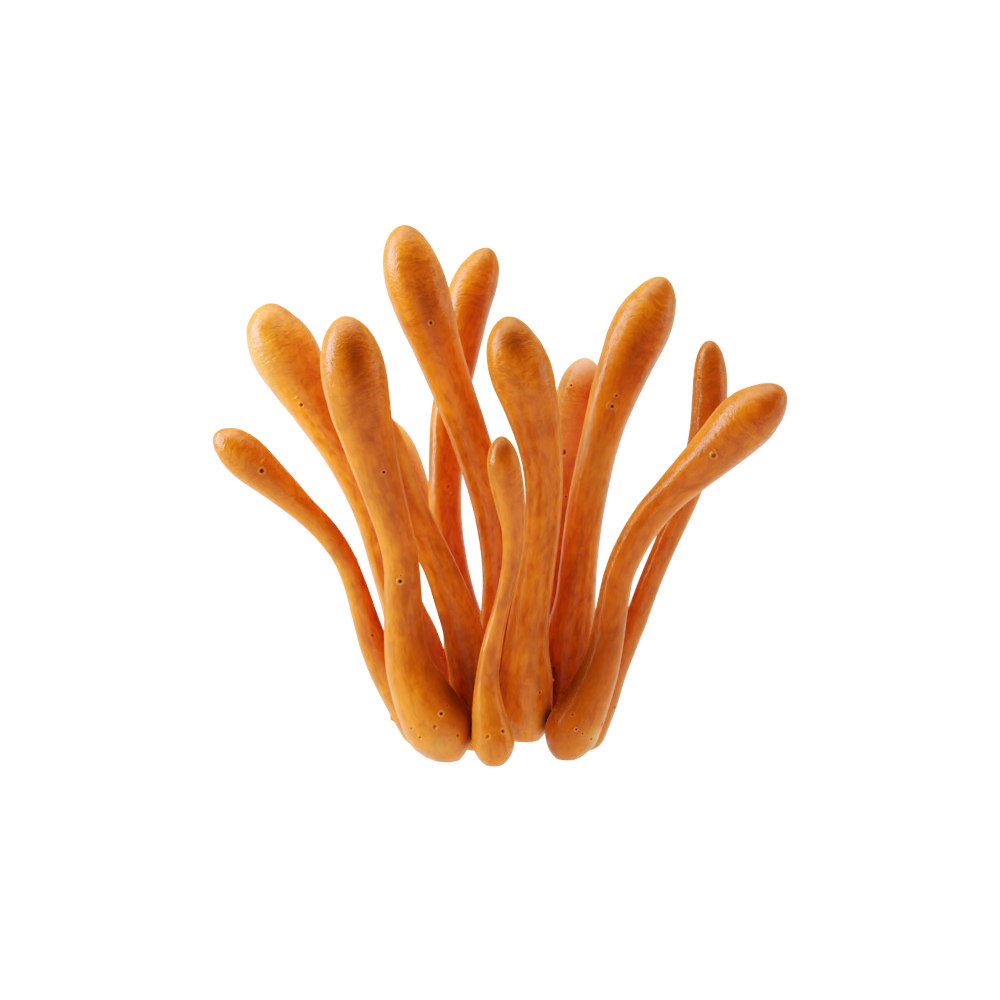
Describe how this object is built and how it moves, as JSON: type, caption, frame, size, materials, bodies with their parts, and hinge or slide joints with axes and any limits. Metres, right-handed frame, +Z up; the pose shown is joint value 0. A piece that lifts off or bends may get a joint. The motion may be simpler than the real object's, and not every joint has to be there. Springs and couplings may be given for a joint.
{
  "type": "cordyceps bunch",
  "caption": "Upright bunch of slender club-shaped fungus bodies, fanned out from close-set feet that are cut off level.",
  "frame": {"origin": "on the table under the middle of the bunch's outline, in the plane of the cut feet", "axes": "+Z up from the cut feet to the heads, +X to the right and -Y towards the picture's viewer"},
  "size_m": [0.0772, 0.035, 0.0728],
  "materials": {
    "amber_skin": "satin",
    "orange_skin": "satin",
    "rust_skin": "satin"
  },
  "bodies": {
    "root": {"club_far_left": "amber_skin", "club_left": "amber_skin", "club_front_left": "amber_skin", "club_front_small": "amber_skin", "club_front_middle": "amber_skin", "club_far_right": "amber_skin", "club_tallest": "orange_skin", "club_back_tall": "orange_skin", "club_inner_left": "orange_skin", "club_right": "orange_skin", "club_back_left": "rust_skin", "club_back_right": "rust_skin", "club_right_slim": "rust_skin"}
  },
  "joints": []
}
